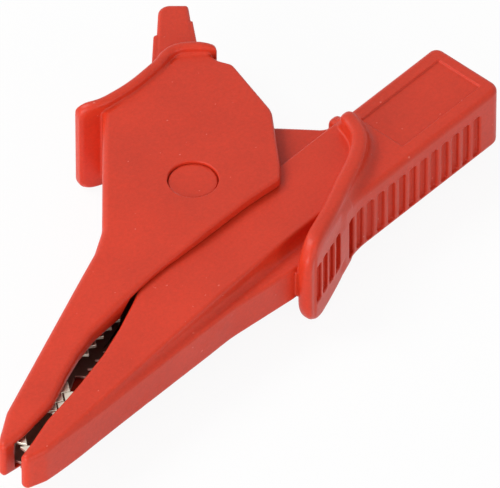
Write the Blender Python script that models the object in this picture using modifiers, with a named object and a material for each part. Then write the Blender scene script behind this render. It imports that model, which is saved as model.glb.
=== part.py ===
"""Crocodile clip: a moulded handle and thumb lever on one pivot, with plated jaws and a spring inside.

Sizes are millimetres from the pivot axis, which is Z. X runs to the end of the handle, -X to the nose tips,
Y to the thumb lever. The clip lies on its side, as it would on a bench.
"""
import math

import bmesh
import bpy
from mathutils import Matrix, Vector

MM = 0.001

# Overall reach and depth
HANDLE_END = 45.2
NOSE_REACH = 54.8
BODY_DEPTH = 10.86
LEVER_DEPTH = 14.28
NOSE_DEPTH = 6.28
GUARD_DEPTH = 16.6

# Handle
HANDLE_WIDTH = 12.75
HANDLE_START = 12.0
GUARD_REACH = 3.95
HANDLE_AXIS_Y = -12.48
HANDLE_EDGE_ROUND = 0.8
HANDLE_CORNER = 1.2
LABEL_LENGTH = 16.3
LABEL_WIDTH = 7.7
LABEL_DEPTH = 0.35
LABEL_MARGIN = 2.35
GRIP_GROOVES = 13
GRIP_PITCH = 2.29
GRIP_WIDTH = 1.4
GRIP_HEIGHT = 7.4
GRIP_DEPTH = 0.5
GRIP_MARGIN = 5.35
GRIP_DROP = 0.9
RAMP_GROOVES = 4
RAMP_PITCH = 2.05
RAMP_MARGIN = 4.05
RAMP_GROOVE_HEIGHT = 7.2

# Thumb tab and shield
TAB_HALF = 5.4
SHIELD_HALF = 4.0
SHIELD_WALL = 1.2

# Underside of the lever's guard, between its plates
LEVER_CEILING = 17.4

# Walls and clearances
BODY_WALL = 1.4
LEVER_WALL = 1.5
GUARD_WALL = 1.6
HANDLE_GUARD_WALL = 2.2
GUARD_CORNER = 5.2
GUARD_TOP_STEP = 3.2
NOSE_CAP = 2.2
SLIDE_GAP = 0.3
SEAT_GAP = 0.25
HINGE_GAP = 0.2

# Keel under the lower nose
KEEL_DEPTH = 6.0
KEEL_DROP = 0.2
CHEEK_LIFT = 1.9
CHEEK_END_LIFT = 0.5
CHEEK_ROUND = 1.0

# Pivot
BOSS_RADIUS = 3.5
DISC_RECESS = 0.4
PIN_RADIUS = 2.3
PIN_LENGTH = 10.2
EAR_RADIUS = 4.2

# Plated jaws
SHEET = 0.5
JAW_TIP_HALF = 2.15
LOWER_JAW_HALF = 3.8
UPPER_JAW_HALF = 3.0
TOOTH_PITCH = 2.0
TOOTH_DEPTH = 1.0
TOOTH_GAP = 0.3
TOOTH_RELIEF = 1.7

# Spring
WIRE_RADIUS = 0.45
COIL_RADIUS = 3.2
COIL_TURNS = 4
COIL_PITCH = 0.98

# Socket and conductor
BORE_RADIUS = 4.15
SOCKET_RADIUS = 2.6
SOCKET_BORE = 2.0
SOCKET_RECESS = 4.6
SOCKET_LENGTH = 18.5
INSULATOR_WALL = 0.5
BULKHEAD = 2.5
STRAP_WIDTH = 2.4
TAIL_WIDTH = 3.8
STRAP_THICK = 0.5
RIVET_RADIUS = 0.6
RIVET_HOLE = RIVET_RADIUS + 0.15
RIVET_HEAD = 1.1
RIVET_HEAD_THICK = 0.4

HANDLE_INNER_Y = HANDLE_AXIS_Y + HANDLE_WIDTH / 2
HANDLE_OUTER_Y = HANDLE_AXIS_Y - HANDLE_WIDTH / 2
GUARD_TIP_Y = HANDLE_OUTER_Y - GUARD_REACH
KEEL_Y = HANDLE_OUTER_Y - KEEL_DROP
CHEEK_Y = HANDLE_OUTER_Y + CHEEK_LIFT
BODY_HALF = BODY_DEPTH / 2
LEVER_HALF = LEVER_DEPTH / 2
NOSE_HALF = NOSE_DEPTH / 2
GUARD_HALF = GUARD_DEPTH / 2
JAW_TIP_X = -NOSE_REACH + NOSE_CAP
HOLLOW_END = -NOSE_REACH * 0.806
HOLLOW_START = 10.2
BODY_KNEE = -NOSE_REACH * 0.256
SOCKET_MOUTH = HANDLE_END - SOCKET_RECESS
SOCKET_REAR = SOCKET_MOUTH - SOCKET_LENGTH
HALL_END = SOCKET_REAR + 0.5
REAR_RIVET_X = SOCKET_REAR - 2.3
FRONT_RIVET_X = -6.5
POCKET_HALF = BODY_HALF + SLIDE_GAP
FAR = 80.0


def nose(share):
    """The x of a station in the noses, as a share of their reach."""
    return -NOSE_REACH * share


def line(points, x):
    """The height at x of a line through points sorted by x."""
    for (x0, y0), (x1, y1) in zip(points, points[1:]):
        if x <= x1:
            break
    return y0 + (y1 - y0) * (x - x0) / (x1 - x0)


def rounded(corners, steps=5):
    """A closed outline whose corners (x, y, radius) are turned into arcs."""
    points = []
    for i, (x, y, radius) in enumerate(corners):
        here = Vector((x, y))
        back = Vector(corners[i - 1][:2]) - here
        on = Vector(corners[(i + 1) % len(corners)][:2]) - here
        half = back.angle(on) / 2
        reach = min(radius / math.tan(half), 0.49 * back.length, 0.49 * on.length) if radius else 0
        if reach < 0.02:
            points.append((x, y))
            continue
        centre = here + (back.normalized() + on.normalized()).normalized() * reach / math.cos(half)
        start = here + back.normalized() * reach - centre
        turn = start.angle_signed(here + on.normalized() * reach - centre)
        for k in range(steps + 1):
            spoke = start.copy()
            spoke.rotate(Matrix.Rotation(-turn * k / steps, 2))
            points.append(tuple(centre + spoke))
    return points


def collection(name):
    made = bpy.data.collections.new(name)
    bpy.context.scene.collection.children.link(made)
    return made


def material(name, colour, roughness, metallic=0.0):
    """A Principled material."""
    made = bpy.data.materials.new(name)
    made.use_nodes = True
    shader = made.node_tree.nodes["Principled BSDF"]
    shader.inputs["Base Color"].default_value = (*colour, 1.0)
    shader.inputs["Roughness"].default_value = roughness
    shader.inputs["Metallic"].default_value = metallic
    return made


def placed(name, mesh):
    """An object for a mesh, in the clip's own frame."""
    made = bpy.data.objects.new(name, mesh)
    made.parent = CLIP
    PARTS.objects.link(made)
    return made


def solid(name, data, turn=Matrix.Identity(4)):
    """A mesh object from a curve, with its caps welded and its place in the mesh."""
    shape = bpy.data.objects.new(name, data)
    PARTS.objects.link(shape)
    graph = bpy.context.evaluated_depsgraph_get()
    mesh = bpy.data.meshes.new_from_object(shape.evaluated_get(graph))
    bpy.data.objects.remove(shape)
    work = bmesh.new()
    work.from_mesh(mesh)
    bmesh.ops.remove_doubles(work, verts=work.verts, dist=1e-7)
    bmesh.ops.transform(work, matrix=turn, verts=work.verts)
    bmesh.ops.recalc_face_normals(work, faces=work.faces)
    work.to_mesh(mesh)
    work.free()
    mesh.name = name
    return placed(name, mesh)


def prism(name, outline, low, high, plane="XY"):
    """A flat outline, filled and extruded from low to high across its plane."""
    curve = bpy.data.curves.new(name, "CURVE")
    curve.dimensions = "2D"
    curve.fill_mode = "BOTH"
    curve.extrude = (high - low) / 2 * MM
    spline = curve.splines.new("POLY")
    spline.points.add(len(outline) - 1)
    for point, (x, y) in zip(spline.points, outline):
        point.co = (x * MM, y * MM, 0, 1)
    spline.use_cyclic_u = True
    middle = (low + high) / 2 * MM
    if plane == "XY":
        turn = Matrix.Translation((0, 0, middle))
    elif plane == "XZ":
        turn = Matrix.Translation((0, middle, 0)) @ Matrix.Rotation(math.radians(90), 4, "X")
    else:
        rows = ((0, 0, 1, 0), (1, 0, 0, 0), (0, 1, 0, 0), (0, 0, 0, 1))
        turn = Matrix.Translation((middle, 0, 0)) @ Matrix(rows)
    return solid(name, curve, turn)


def rod(name, radius, length, centre, axis="Z", sides=32):
    """A cylinder along one axis, with its place in its mesh."""
    turn = {"Z": Matrix.Identity(4), "X": Matrix.Rotation(math.radians(90), 4, "Y"),
            "Y": Matrix.Rotation(math.radians(90), 4, "X")}[axis]
    place = Matrix.Translation([c * MM for c in centre]) @ turn
    work = bmesh.new()
    bmesh.ops.create_cone(work, cap_ends=True, segments=sides, radius1=radius * MM, radius2=radius * MM,
                          depth=length * MM, matrix=place)
    mesh = bpy.data.meshes.new(name)
    work.to_mesh(mesh)
    work.free()
    return placed(name, mesh)


def shape_with(target, tool, operation):
    """Adds a Boolean of one solid with another, and keeps the tool as a hidden guide."""
    step = target.modifiers.new(tool.name, "BOOLEAN")
    step.object = tool
    step.operation = operation
    step.solver = "EXACT"
    step.show_viewport = False
    PARTS.objects.unlink(tool)
    CUTTERS.objects.link(tool)
    tool.hide_render = True
    tool.display_type = "WIRE"


def cut(target, tool):
    shape_with(target, tool, "DIFFERENCE")


def join(target, tool):
    shape_with(target, tool, "UNION")


def keep(target, tool):
    shape_with(target, tool, "INTERSECT")


def taper(name, stations):
    """A block as deep at each x as its station (x, half depth) says, over the whole width."""
    upper = [(x, half) for x, half in stations]
    lower = [(x, -half) for x, half in reversed(stations)]
    return prism(name, upper + lower, -FAR, FAR, "XZ")


def finish(piece, slot, parent):
    """Gives a piece its material and its parent, and shades it smooth up to sharp edges."""
    piece.data.materials.append(slot)
    piece.data.shade_smooth()
    piece.data.set_sharp_from_angle(angle=math.radians(35))
    piece.parent = parent


# Lines that the two noses and their jaws share
LEVER_UPPER = [(nose(0.998), -12.4), (nose(0.901), -9.45), (nose(0.460), -0.85), (nose(0.358), 1.1),
               (nose(0.285), 3.3)]
LEVER_LOWER = [(nose(0.985), -14.5), (nose(0.929), -14.2), (nose(0.803), -13.4), (nose(0.708), -11.3),
               (nose(0.639), -10.0), (nose(0.560), -9.0), (nose(0.456), -8.6), (nose(0.373), -8.3),
               (nose(0.321), -8.2)]
BODY_INNER = [(nose(0.992), -16.7), (nose(0.934), -16.0), (nose(0.853), -14.8), (nose(0.780), -14.3),
              (nose(0.708), -13.7), (nose(0.592), -12.4), (nose(0.498), -10.8), (nose(0.409), -8.9)]
BODY_FLOOR = [(nose(0.971), KEEL_Y), (HOLLOW_END, KEEL_Y), (0.0, KEEL_Y + 1.6)]
JAW_MEET = [(nose(0.965), -15.3), (nose(0.920), -14.7), (nose(0.806), -13.8), (nose(0.700), -12.0)]
UPPER_TIPS = [(nose(0.640), -10.6), (nose(0.612), -10.0), (nose(0.540), -9.15), (nose(0.469), -8.55),
              (nose(0.400), -8.4)]
TOOTH_ZONES = [(JAW_TIP_X + SEAT_GAP, nose(0.905)), (nose(0.815), nose(0.695)), (nose(0.612), nose(0.425))]
PLATE_DEPTH = [(-FAR, NOSE_HALF), (-NOSE_REACH, NOSE_HALF), (nose(0.403), 6.1), (nose(0.110), LEVER_HALF),
               (FAR, LEVER_HALF)]
RAMP = [(1.2, GUARD_TIP_Y + 0.25), (12.1, HANDLE_OUTER_Y - 0.05)]
GUARD_FRONT = [(23.4, -4.6), (22.8, -8.2), (21.2, -11.3), (17.8, HANDLE_OUTER_Y + 5.3),
               (13.7, HANDLE_OUTER_Y + 3.6), (7.1, HANDLE_OUTER_Y + 0.8), (-1.6, GUARD_TIP_Y + 1.79)]
THUMB_TAB = [(14.6, 20.8, 0), (14.9, 18.9, 0), (20.0, 17.0, 0), (22.3, 20.0, 0), (27.4, 26.0, 0.5),
             (24.5, 29.2, 1.8)]
THUMB_PAD = [(14.2, 21.1, 0), (14.9, 18.9, 0), (20.0, 17.0, 0), (22.6, 19.9, 0), (25.5, 23.4, 0),
             (19.3, 25.4, 0.3)]
LEVER_GUARD = [(-1.5, 20.9), (1.6, 19.2), (4.8, 18.5), (8.5, 18.2), (13.2, 18.4), (17.4, 18.7), (21.4, 14.9)]


def body_half(x):
    """Half the depth of the handle and lower nose at x."""
    return line([(-NOSE_REACH, NOSE_HALF), (BODY_KNEE, BODY_HALF), (FAR, BODY_HALF)], x)


def lower_jaw_half(x):
    return line([(JAW_TIP_X, JAW_TIP_HALF), (0.0, LOWER_JAW_HALF), (FAR, LOWER_JAW_HALF)], x)


def upper_jaw_half(x):
    return line([(JAW_TIP_X, JAW_TIP_HALF), (0.0, UPPER_JAW_HALF), (FAR, UPPER_JAW_HALF)], x)


def stations(half, xs, extra=0.0):
    return [(x, half(x) + extra) for x in xs]


def strip(points, thick):
    """The outline of a wall along points, thick to the left of the way they run."""
    outer = []
    for i, (x, y) in enumerate(points):
        x0, y0 = points[max(i - 1, 0)]
        x1, y1 = points[min(i + 1, len(points) - 1)]
        length = math.hypot(x1 - x0, y1 - y0)
        outer.append((x - (y1 - y0) / length * thick, y + (x1 - x0) / length * thick))
    return list(points) + outer[::-1]


def hollow(name, side):
    """The groove between cheek and keel: a round-cornered block that leans out of the nose."""
    inner = KEEL_DEPTH / 2
    outline = rounded([(CHEEK_Y, inner, CHEEK_ROUND), (CHEEK_Y, FAR, 0), (-FAR, FAR, 0), (-FAR, inner, 0)])
    outline = [(y, z * side) for y, z in outline]
    block = prism(name, outline, HOLLOW_END - 10, HOLLOW_START, "YZ")
    reach = -HOLLOW_END * MM
    for vertex in block.data.vertices:
        along = -vertex.co.x / reach
        vertex.co.y -= max(along, 0) * (CHEEK_Y - KEEL_Y - CHEEK_END_LIFT) * MM
    return block


def handle_body(parent, slot):
    """The handle, its guard and shield, and the lower nose, in one moulding."""
    inner_edge = [(x, y, 6.0) for x, y in BODY_INNER[1:-1]]
    outline = rounded([
        (12.5, HANDLE_OUTER_Y, 0), (15.0, CHEEK_Y + 0.8, 0), (22.4, -12.0, 0), (23.4, HANDLE_INNER_Y, 0),
        (8.6, HANDLE_INNER_Y, 2.0), (8.6, 7.6, 7.4), (-8.6, 7.6, 7.4), (nose(0.180), -3.0, 5.0),
        (*BODY_INNER[-1], 4.0), *inner_edge[::-1], (*BODY_INNER[0], 0.4),
        (nose(0.992), KEEL_Y + 1.1, 0.6), (nose(0.934), KEEL_Y + 0.2, 4.0), (nose(0.800), KEEL_Y, 20.0),
        (nose(0.230), KEEL_Y, 20.0),
        (-1.0, KEEL_Y - 1.2, 6.0), (6.0, KEEL_Y - 1.3, 0.0)])
    body = prism("handle_body", outline, -BODY_HALF, BODY_HALF)
    keep(body, taper("body_depth", stations(body_half, (-FAR, -NOSE_REACH, BODY_KNEE, FAR))))

    # The handle is a block with rounded edges
    inner_y = HANDLE_INNER_Y
    outer_y = HANDLE_OUTER_Y
    edge = HANDLE_EDGE_ROUND
    block = prism("handle_block", rounded([
        (HANDLE_END, outer_y, HANDLE_CORNER), (HANDLE_END, inner_y, HANDLE_CORNER),
        (HANDLE_START, inner_y, 0), (HANDLE_START, outer_y, 0)]), -FAR, FAR)
    end_view = rounded([(outer_y, -BODY_HALF, edge), (inner_y, -BODY_HALF, edge), (inner_y, BODY_HALF, edge),
                        (outer_y, BODY_HALF, edge)], 3)
    keep(block, prism("handle_end_view", end_view, 0.0, FAR, "YZ"))
    side_view = rounded([(0.0, -BODY_HALF - 1.0, 0), (HANDLE_END - edge, -BODY_HALF - 1.0, 0),
                         (HANDLE_END, -BODY_HALF + edge, 0), (HANDLE_END, BODY_HALF - edge, 0),
                         (HANDLE_END - edge, BODY_HALF + 1.0, 0), (0.0, BODY_HALF + 1.0, 0)])
    keep(block, prism("handle_side_view", side_view, -FAR, FAR, "XZ"))
    join(body, block)
    cut(body, hollow("hollow_top", 1))
    cut(body, hollow("hollow_under", -1))

    # The shield that closes the gap between the lever's plates
    shield = rounded([
        (25.5, HANDLE_INNER_Y - 2.0, 0), (24.4, HANDLE_INNER_Y + 0.2, 0), (22.3, -4.6, 1.0), (18.1, 0.6, 3.0),
        (12.5, 6.6, 3.0), (7.0, 8.0, 0), (4.0, -2.0, 0), (8.0, -9.0, 0)])
    join(body, prism("shield", shield, -SHIELD_HALF, SHIELD_HALF))

    # The finger guard is a curved wall, rounded at its tip and stepped at its top, with a ramp behind it
    rim = GUARD_HALF
    tip_x = GUARD_FRONT[-1][0] + 0.6
    side_view = rounded([(tip_x, -rim, GUARD_CORNER), (FAR, -rim, 0), (FAR, rim, 0), (tip_x, rim, GUARD_CORNER)])
    wall = strip(GUARD_FRONT[::-1], -HANDLE_GUARD_WALL)
    ends = (0, len(wall) - 1)
    tip_round = HANDLE_GUARD_WALL * 0.48
    wall = rounded([(x, y, tip_round if i in ends else 0) for i, (x, y) in enumerate(wall)])
    guard = prism("guard_wall", wall, -FAR, FAR)
    low_rim = rim - GUARD_TOP_STEP
    top_view = [(GUARD_TIP_Y - 1.0, rim, 0), (-7.2, rim, 2.0), (-6.6, low_rim + 0.2, 0.5),
                (-4.4, low_rim - 0.2, 1.5)]
    under_view = [(y, -z, radius) for y, z, radius in reversed(top_view)]
    keep(guard, prism("guard_view", rounded(top_view + under_view), -FAR, FAR, "YZ"))
    ramp_side = [RAMP[1], (13.6, HANDLE_OUTER_Y + 1.0), (8.3, HANDLE_OUTER_Y + 0.2), (1.9, GUARD_TIP_Y + 1.5),
                 RAMP[0]]
    ramp = prism("ramp", ramp_side, -FAR, FAR)
    ramp_end = BODY_HALF - 0.05
    keep(ramp, taper("ramp_depth", [(-2.0, rim - 0.1), (3.0, rim - 0.15), (8.0, rim - 0.8), (13.6, ramp_end),
                                    (15.0, ramp_end)]))
    join(guard, ramp)
    keep(guard, prism("guard_side", side_view, -FAR, FAR, "XZ"))
    join(body, guard)

    # The small rib across the keel in front of the guard
    rib = prism("keel_rib", [(-0.6, KEEL_Y - 1.0), (0.6, KEEL_Y - 1.0), (0.6, KEEL_Y - 1.6),
                             (-0.6, KEEL_Y - 1.55)], -2.3, 2.3)
    join(body, rib)

    # Pivot bosses, which turn in the lever's holes
    boss_half = LEVER_HALF - DISC_RECESS
    join(body, rod("bosses", BOSS_RADIUS, boss_half * 2, (0, 0, 0), "Z", 48))

    # The channel for the lower jaw, the spring and the strap, open towards the lever
    floor = [(x, line(BODY_FLOOR, x) + BODY_WALL) for x in (JAW_TIP_X, HOLLOW_END, 0.0)]
    channel = floor + [(HALL_END, floor[-1][1]), (HALL_END, HANDLE_INNER_Y - BODY_WALL),
                       (12.0, HANDLE_INNER_Y - BODY_WALL), (9.0, -4.0), (9.0, FAR), (JAW_TIP_X, FAR)]
    cavity = prism("channel", channel, -FAR, FAR)
    inner = stations(lower_jaw_half, (-FAR, JAW_TIP_X, 0.0, FAR), SEAT_GAP)
    keep(cavity, taper("channel_depth", inner))
    cut(body, cavity)
    pocket = [(8.5, -10.0), (21.0, -10.0), (21.4, -5.6), (16.9, -0.1), (11.8, 5.2), (8.5, 6.2)]
    cut(body, prism("shield_pocket", pocket, -SHIELD_HALF + SHIELD_WALL, SHIELD_HALF - SHIELD_WALL))
    cut(body, rod("pin_seat", PIN_RADIUS + HINGE_GAP, PIN_LENGTH + 2 * SEAT_GAP, (0, 0, 0)))

    # The socket bore from the end face, and the bulkhead that holds the contact tube
    bore_end = HALL_END + BULKHEAD
    bore_length = HANDLE_END + 1.0 - bore_end
    bore_middle = bore_end + bore_length / 2
    cut(body, rod("socket_bore", BORE_RADIUS, bore_length, (bore_middle, HANDLE_AXIS_Y, 0), "X", 40))
    hole_middle = (bore_end - 1.0, HANDLE_AXIS_Y, 0)
    cut(body, rod("bulkhead_hole", SOCKET_RADIUS + SEAT_GAP, BULKHEAD * 3, hole_middle, "X"))
    relief = (FRONT_RIVET_X, line(BODY_FLOOR, FRONT_RIVET_X) + BODY_WALL, 0)
    cut(body, rod("rivet_relief", RIVET_HEAD + SEAT_GAP, 3.0, relief, "Y"))

    # Label recesses on both faces
    label_end = HANDLE_END - LABEL_MARGIN
    for side in (1, -1):
        face = side * BODY_HALF
        label = rounded([(label_end, HANDLE_AXIS_Y - LABEL_WIDTH / 2, 0.3),
                         (label_end, HANDLE_AXIS_Y + LABEL_WIDTH / 2, 0.3),
                         (label_end - LABEL_LENGTH, HANDLE_AXIS_Y + LABEL_WIDTH / 2, 0.3),
                         (label_end - LABEL_LENGTH, HANDLE_AXIS_Y - LABEL_WIDTH / 2, 0.3)])
        cut(body, prism(f"label_{side}", label, face - LABEL_DEPTH, face + LABEL_DEPTH))

    # Grip grooves along the outer side and on the ramp
    for i in range(GRIP_GROOVES + RAMP_GROOVES):
        if i < GRIP_GROOVES:
            x = HANDLE_END - GRIP_MARGIN - i * GRIP_PITCH
            face = HANDLE_OUTER_Y
            top = GRIP_HEIGHT / 2 - GRIP_DROP
            low = top - GRIP_HEIGHT
        else:
            x = RAMP[1][0] - RAMP_MARGIN - (i - GRIP_GROOVES) * RAMP_PITCH
            face = line(RAMP, x)
            top = RAMP_GROOVE_HEIGHT / 2
            low = -top
        left = x - GRIP_WIDTH / 2
        right = x + GRIP_WIDTH / 2
        slot_view = rounded([(left, low, 0.6), (right, low, 0.6), (right, top, 0.6), (left, top, 0.6)], 3)
        cut(body, prism(f"groove_{i}", slot_view, face - 3.0, face + GRIP_DEPTH, "XZ"))
    finish(body, slot, parent)


def lever_body(parent, slot):
    """The thumb lever, its guard and tab, and the upper nose, in one moulding."""
    upper = LEVER_UPPER
    lower_edge = [(x, y, 4.0) for x, y in LEVER_LOWER[1:]]
    outline = rounded([
        (-NOSE_REACH, -14.0, 0.4), (-NOSE_REACH, -12.7, 0.8), (*upper[1], 3.0), (*upper[2], 20.0),
        (*upper[3], 6.0), (*upper[4], 6.0), (1.6, 19.0, 0.6), (4.8, 18.7, 0), (8.5, 18.2, 0), (13.2, 18.5, 0),
        (17.9, 18.8, 0), (20.5, 15.8, 0), (20.5, 13.8, 0.4), (21.3, 11.8, 1.5), (18.05, 1.2, 4.0),
        (10.6, -7.2, 2.0), (8.5, -9.1, 1.0), (2.6, -8.6, 0), (nose(0.143), -8.5, 0), *lower_edge[::-1]])
    body = prism("lever_body", outline, -LEVER_HALF, LEVER_HALF)
    keep(body, taper("lever_depth", PLATE_DEPTH))

    # The finger guard is a curved flange whose upper view is a round-cornered plate
    guard = prism("lever_guard", strip(LEVER_GUARD, GUARD_WALL), -FAR, FAR)
    view = rounded([(-1.3, -GUARD_HALF, 2.6), (22.9, -GUARD_HALF, 2.6), (22.9, GUARD_HALF, 2.6),
                    (-1.3, GUARD_HALF, 2.6)])
    keep(guard, prism("lever_guard_view", view, -FAR, FAR, "XZ"))
    join(body, guard)
    join(body, prism("thumb_tab", rounded(THUMB_TAB), -TAB_HALF, TAB_HALF))
    join(body, prism("thumb_pad", rounded(THUMB_PAD), -TAB_HALF + 0.4, TAB_HALF - 0.4))

    # The pocket between the plates, which narrows to the upper jaw's channel in the nose
    roof = [(x, line(upper, x) - LEVER_WALL) for x in (JAW_TIP_X, *[x for x, y in upper[1:4]])]
    pocket = roof + [(upper[4][0] + 1.2, 2.2), (2.7, 17.8), (8.5, LEVER_CEILING), (17.0, 17.7), (19.3, 14.8),
                     (FAR, 13.0), (FAR, -FAR), (JAW_TIP_X, -FAR)]
    cavity = prism("lever_pocket", pocket, -FAR, FAR)
    channel_end = nose(0.449)
    cheek_end = BODY_INNER[-1][0]
    inner = [(-FAR, JAW_TIP_HALF + SEAT_GAP), (JAW_TIP_X, JAW_TIP_HALF + SEAT_GAP),
             (channel_end, upper_jaw_half(channel_end) + SEAT_GAP + 0.2),
             (cheek_end, body_half(cheek_end) + SLIDE_GAP), (BODY_KNEE, POCKET_HALF), (FAR, POCKET_HALF)]
    keep(cavity, taper("pocket_depth", inner))
    cut(body, cavity)
    cut(body, rod("pivot_hole", BOSS_RADIUS + HINGE_GAP, LEVER_DEPTH + 4, (0, 0, 0), "Z", 48))
    finish(body, slot, parent)


def teeth(tips, side):
    """The toothed edge of a jaw: saw teeth whose tips lie on the line tips, in three zones, with the edge drawn
    back between them. side is 1 for tips that point to +Y."""
    points = []
    for start, end in TOOTH_ZONES:
        count = round((end - start) / TOOTH_PITCH)
        shift = 0.0 if side > 0 else TOOTH_PITCH / 2
        if points:
            points.append((start - 0.3, line(tips, start) - side * TOOTH_RELIEF))
        for i in range(count):
            x = start + shift + i * TOOTH_PITCH
            points.append((x, line(tips, x)))
            valley = x + TOOTH_PITCH / 2
            points.append((valley, line(tips, valley) - side * TOOTH_DEPTH))
        points.append((valley + 0.3, line(tips, valley) - side * TOOTH_RELIEF))
    return points


def jaw(name, outline, half, web, parent, slot):
    """A channel of sheet metal: a tapered outline, hollowed down to its web and its two side walls."""
    piece = prism(name, outline, -FAR, FAR)
    xs = (-FAR, JAW_TIP_X, 0.0, FAR)
    keep(piece, taper(name + "_depth", stations(half, xs)))
    inside = prism(name + "_inside", web, -FAR, FAR)
    keep(inside, taper(name + "_inside_depth", stations(half, xs, -SHEET)))
    cut(piece, inside)
    cut(piece, rod(name + "_pin_hole", PIN_RADIUS + HINGE_GAP, 20, (0, 0, 0)))
    finish(piece, slot, parent)
    return piece


def lower_jaw(parent, slot):
    """The plated channel in the lower nose, with ears round the pivot pin."""
    start = JAW_TIP_X + SEAT_GAP
    back = [(x, line(BODY_FLOOR, x) + BODY_WALL + SEAT_GAP) for x in (start, HOLLOW_END, -4.0)]
    tips = [(x, y + TOOTH_DEPTH / 2 - TOOTH_GAP / 2) for x, y in JAW_MEET]
    tips = tips + [(x, y - 0.1) for x, y in BODY_INNER[5:]]
    ear = rounded([(3.0, -5.0, 3.0), (EAR_RADIUS, EAR_RADIUS, EAR_RADIUS),
                   (-EAR_RADIUS, EAR_RADIUS, EAR_RADIUS), (-EAR_RADIUS - 2.0, -3.0, 3.0)])
    edge = teeth(tips, 1)
    outline = back + [(-3.6, back[-1][1] + 1.0)] + ear + edge[::-1]
    web = [(x, y + SHEET) for x, y in back]
    web = [(-FAR, web[0][1])] + web + [(-4.0, -FAR), (FAR, -FAR), (FAR, FAR), (-FAR, FAR)]
    piece = jaw("lower_jaw", outline, lower_jaw_half, web, parent, slot)
    cut(piece, rod("lower_jaw_rivet_hole", RIVET_HOLE, 8.0, (FRONT_RIVET_X, back[-1][1], 0), "Y", 20))


def upper_jaw(parent, slot):
    """The plated channel in the upper nose, with ears inside those of the lower jaw."""
    start = JAW_TIP_X + SEAT_GAP
    xs = (start, *[x for x, y in LEVER_UPPER[1:4]])
    back = [(x, line(LEVER_UPPER, x) - LEVER_WALL - SEAT_GAP) for x in xs]
    tips = [(x, y - TOOTH_DEPTH / 2 + TOOTH_GAP / 2) for x, y in JAW_MEET] + UPPER_TIPS
    ear = rounded([(-EAR_RADIUS, EAR_RADIUS, EAR_RADIUS), (EAR_RADIUS, EAR_RADIUS, EAR_RADIUS),
                   (EAR_RADIUS, -EAR_RADIUS, EAR_RADIUS), (-EAR_RADIUS, -EAR_RADIUS, EAR_RADIUS)])
    edge = teeth(tips, -1)
    outline = back + ear + [(nose(0.293), -6.4)] + edge[::-1]
    web = [(x, y - SHEET) for x, y in back]
    web = [(-FAR, web[0][1])] + web + [(back[-1][0], FAR), (FAR, FAR), (FAR, -FAR), (-FAR, -FAR)]
    jaw("upper_jaw", outline, upper_jaw_half, web, parent, slot)


def pivot_pin(parent, slot):
    """The steel pin, held between the two bosses."""
    pin = rod("pivot_pin", PIN_RADIUS, PIN_LENGTH, (0, 0, 0), "Z", 40)
    finish(pin, slot, parent)


def torsion_spring(parent, slot):
    """A close coil round the pin, with one leg on the handle's floor and one under the lever."""
    first = math.radians(30)
    last = math.radians(-20 + 360 * COIL_TURNS)
    rise = COIL_PITCH * (last - first) / (2 * math.pi)
    reach = WIRE_RADIUS + SLIDE_GAP
    floor = CHEEK_Y + BODY_WALL + reach
    ceiling = LEVER_CEILING - reach

    def on_coil(angle):
        z = rise * ((angle - first) / (last - first) - 0.5)
        return COIL_RADIUS * math.cos(angle), COIL_RADIUS * math.sin(angle), z

    steps = 14 * COIL_TURNS
    route = [on_coil(first + (last - first) * i / steps) for i in range(steps + 1)]
    x, y, z = route[0]
    down = (y - floor) / math.cos(first)
    route.insert(0, (x + down * math.sin(first), floor, z))
    x, y, z = route[-1]
    up = (ceiling - y) / math.cos(last)
    route.append((x - up * math.sin(last), ceiling, z))
    curve = bpy.data.curves.new("torsion_spring", "CURVE")
    curve.dimensions = "3D"
    curve.bevel_depth = WIRE_RADIUS * MM
    curve.bevel_resolution = 2
    curve.use_fill_caps = True
    spline = curve.splines.new("POLY")
    spline.points.add(len(route) - 1)
    for point, place in zip(spline.points, route):
        point.co = (*[c * MM for c in place], 1)
    finish(solid("torsion_spring", curve), slot, parent)


def tube(name, outer, inner, start, end, parent, slot):
    """A tube along X on the handle's axis."""
    middle = ((start + end) / 2, HANDLE_AXIS_Y, 0)
    piece = rod(name, outer, end - start, middle, "X", 32)
    cut(piece, rod(name + "_bore", inner, end - start + 2, middle, "X", 32))
    finish(piece, slot, parent)
    return piece


def socket(parent, plated, insulating):
    """The contact tube with its solder tail, and the insulating sleeve round it."""
    mouth = SOCKET_MOUTH
    rear = SOCKET_REAR
    middle = ((mouth + rear) / 2, HANDLE_AXIS_Y, 0)
    piece = rod("socket_tube", SOCKET_RADIUS, SOCKET_LENGTH, middle, "X", 32)
    side = TAIL_WIDTH / 2
    tail_view = [(rear - 4.5, -side), (rear + 1.0, -side), (rear + 1.0, side), (rear - 4.5, side)]
    tail = prism("socket_tail", tail_view, HANDLE_AXIS_Y - STRAP_THICK / 2, HANDLE_AXIS_Y + STRAP_THICK / 2,
                 "XZ")
    join(piece, tail)
    deep = SOCKET_LENGTH - 2.0
    hole_middle = (mouth - (deep - 1.0) / 2, HANDLE_AXIS_Y, 0)
    cut(piece, rod("socket_hole", SOCKET_BORE, deep + 1.0, hole_middle, "X", 32))
    cut(piece, rod("tail_hole", RIVET_HOLE, 6.0, (REAR_RIVET_X, HANDLE_AXIS_Y, 0), "Y", 20))
    finish(piece, plated, parent)
    inner = SOCKET_RADIUS + SEAT_GAP
    start = HALL_END + BULKHEAD + SEAT_GAP
    tube("socket_insulator", inner + INSULATOR_WALL, inner, start, mouth + 0.4, parent, insulating)


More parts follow.
